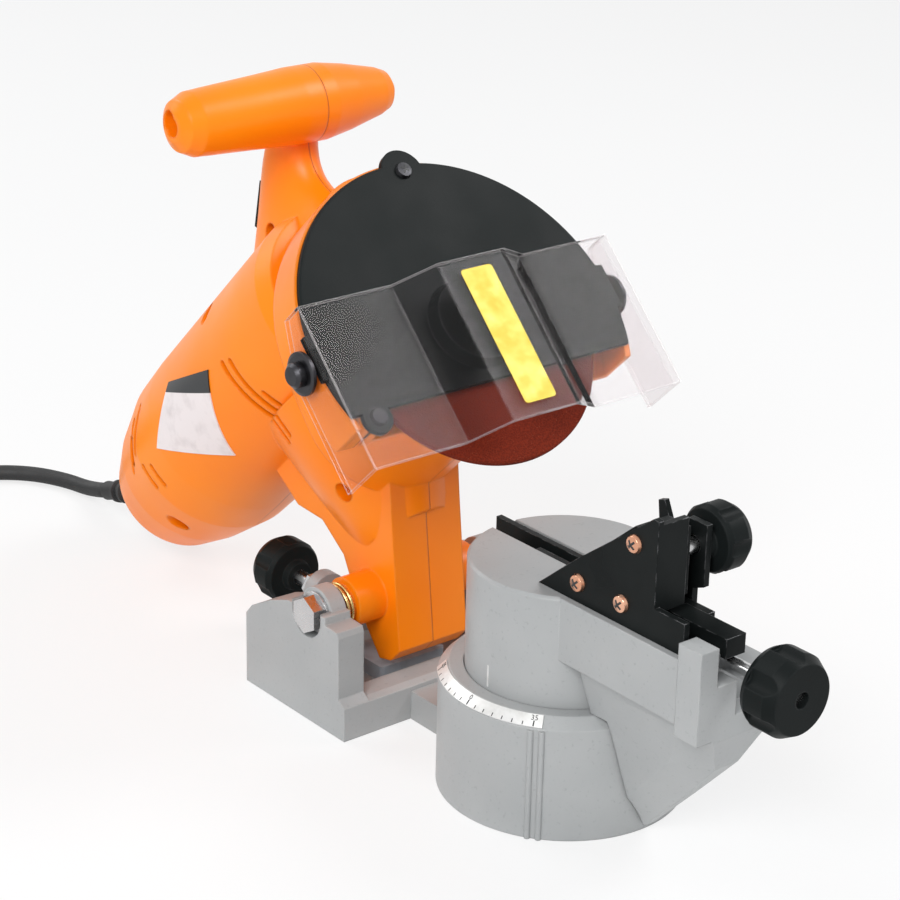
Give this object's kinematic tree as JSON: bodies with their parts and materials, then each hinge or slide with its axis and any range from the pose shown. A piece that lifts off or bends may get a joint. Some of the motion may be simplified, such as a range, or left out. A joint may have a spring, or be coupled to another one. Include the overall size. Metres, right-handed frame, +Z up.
{
  "type": "chainsaw sharpener",
  "caption": "Bench chainsaw sharpener: a tilting motor head with a guarded thin grinding wheel and clear visor over a turning chain vise.",
  "frame": {"origin": "on the bench under the tilt axis, in the middle plane of the head", "axes": "+X along the tilt axis, +Y to the back, away from the vise and operator, +Z up"},
  "size_m": [0.2201, 0.618, 0.2376],
  "materials": {
    "cast_grey": "light grey paint on a casting",
    "orange_shell": "semi-gloss orange moulding",
    "black_moulding": "black moulding",
    "black_metal": "black painted steel",
    "black_rubber": "black rubber",
    "pale_pad": "pale rubber",
    "bright_steel": "zinc plated steel",
    "copper_screws": "coppery plated screws",
    "dark_screws": "blackened steel",
    "spring_brass": "golden spring wire",
    "abrasive": "red brown abrasive",
    "clear_sheet": "clear sheet",
    "blank_label": "blank printed label",
    "scale_strip": "pale scale strip",
    "core_steel": "laminated core",
    "copper_wire": "enamelled copper",
    "carbon": "carbon"
  },
  "bodies": {
    "bench_base": {"bench_bracket": "cast_grey", "pivot_bolt": "bright_steel", "pivot_nut": "bright_steel", "pivot_washers": "bright_steel", "leg_pad": "pale_pad", "return_spring": "spring_brass", "turntable_base": "cast_grey", "scale_plate": "scale_strip", "depth_nut": "bright_steel", "mains_cord": "black_rubber", "cord_coil": "black_rubber", "mains_plug": "black_rubber"},
    "grinder_head": {"housing_left": "orange_shell", "housing_right": "orange_shell", "housing_screws": "dark_screws", "switch_frame": "black_moulding", "rating_panel": "blank_label", "stator": "core_steel", "field_coils": "copper_wire", "brush_holders": "copper_wire", "brushes": "carbon", "ball_bearings": "bright_steel", "drive_belt": "black_rubber", "wheel_shroud": "orange_shell", "guard_cover": "black_moulding", "guard_screws": "dark_screws", "visor_bolts": "dark_screws", "visor_washers": "dark_screws", "strain_relief": "black_rubber"},
    "wheel_group": {"spindle_pulley": "bright_steel", "grinding_wheel": "abrasive", "inner_flange": "bright_steel", "outer_flange": "bright_steel", "wheel_nut": "bright_steel", "spindle": "bright_steel"},
    "rotor": {"armature_core": "core_steel", "armature_windings": "copper_wire", "commutator": "copper_wire", "rotor_shaft": "bright_steel", "motor_fan": "black_moulding", "motor_pulley": "bright_steel"},
    "eye_visor": {"visor": "clear_sheet"},
    "rocker": {"switch_rocker": "black_moulding"},
    "vise": {"vise_body": "cast_grey", "table_bolt": "bright_steel", "table_nut": "bright_steel", "stop_bracket": "black_metal", "jaw_block": "black_metal", "pawl_pin": "bright_steel", "bracket_screws": "copper_screws", "near_rail": "black_metal", "clamp_stud": "bright_steel"},
    "clamp_jaw": {"far_jaw": "black_metal"},
    "clamp_grip": {"clamp_knob": "black_moulding"},
    "stop_pawl": {"pawl": "black_metal"},
    "slider": {"stop_slider": "black_metal"},
    "adjuster": {"adjust_screw": "bright_steel", "adjust_knob": "black_moulding"},
    "depth_stop": {"depth_screw": "bright_steel", "depth_knob": "black_moulding"}
  },
  "joints": [
    {"name": "head_tilt", "type": "hinge", "parent": "bench_base", "child": "grinder_head", "pos_m": [0, 0, 0.04433], "axis": [1, 0, 0], "range_deg": [0, 19.5]},
    {"name": "wheel_spin", "type": "hinge", "parent": "grinder_head", "child": "wheel_group", "pos_m": [0, -0.03221, 0.15813], "axis": [0, -0.7113, 0.7029], "continuous": true},
    {"name": "rotor_spin", "type": "hinge", "parent": "grinder_head", "child": "rotor", "pos_m": [0, 0.01514, 0.17347], "axis": [0, -0.7113, 0.7029], "continuous": true},
    {"name": "visor_tilt", "type": "hinge", "parent": "grinder_head", "child": "eye_visor", "pos_m": [0, -0.03157, 0.15749], "axis": [1, 0, 0], "range_deg": [-12, 5]},
    {"name": "switch_tip", "type": "hinge", "parent": "grinder_head", "child": "rocker", "pos_m": [0, 0.08569, 0.17813], "axis": [1, 0, 0], "range_deg": [0, 18]},
    {"name": "vise_turn", "type": "hinge", "parent": "bench_base", "child": "vise", "pos_m": [0, -0.0941, 0.03], "axis": [0, 0, 1], "range_deg": [-35, 35]},
    {"name": "jaw_slide", "type": "slide", "parent": "vise", "child": "clamp_jaw", "axis": [1, 0, 0], "range_m": [0, 0.00125]},
    {"name": "clamp_turn", "type": "hinge", "parent": "clamp_jaw", "child": "clamp_grip", "pos_m": [0.004, -0.155, 0.117], "axis": [1, 0, 0], "range_deg": [0, 372]},
    {"name": "pawl_flip", "type": "hinge", "parent": "vise", "child": "stop_pawl", "pos_m": [-0.002, -0.147, 0.1175], "axis": [1, 0, 0], "range_deg": [0, 60]},
    {"name": "slider_move", "type": "slide", "parent": "vise", "child": "slider", "axis": [0, 1, 0], "range_m": [-0.002, 0.0015]},
    {"name": "adjust_turn", "type": "hinge", "parent": "vise", "child": "adjuster", "pos_m": [-0.008, -0.2, 0.0866], "axis": [0, 1, 0], "range_deg": [-738, 558]},
    {"name": "depth_turn", "type": "hinge", "parent": "bench_base", "child": "depth_stop", "pos_m": [-0.012, 0.05, 0.03], "axis": [0, 1, 0], "range_deg": [-360, 360]}
  ],
  "couplings": [
    {"joint": "rotor_spin", "follows": "wheel_spin", "ratio": 2.7143},
    {"joint": "clamp_turn", "follows": "jaw_slide", "rad_per_m": 5026.5},
    {"joint": "adjust_turn", "follows": "slider_move", "rad_per_m": 6283.2}
  ]
}
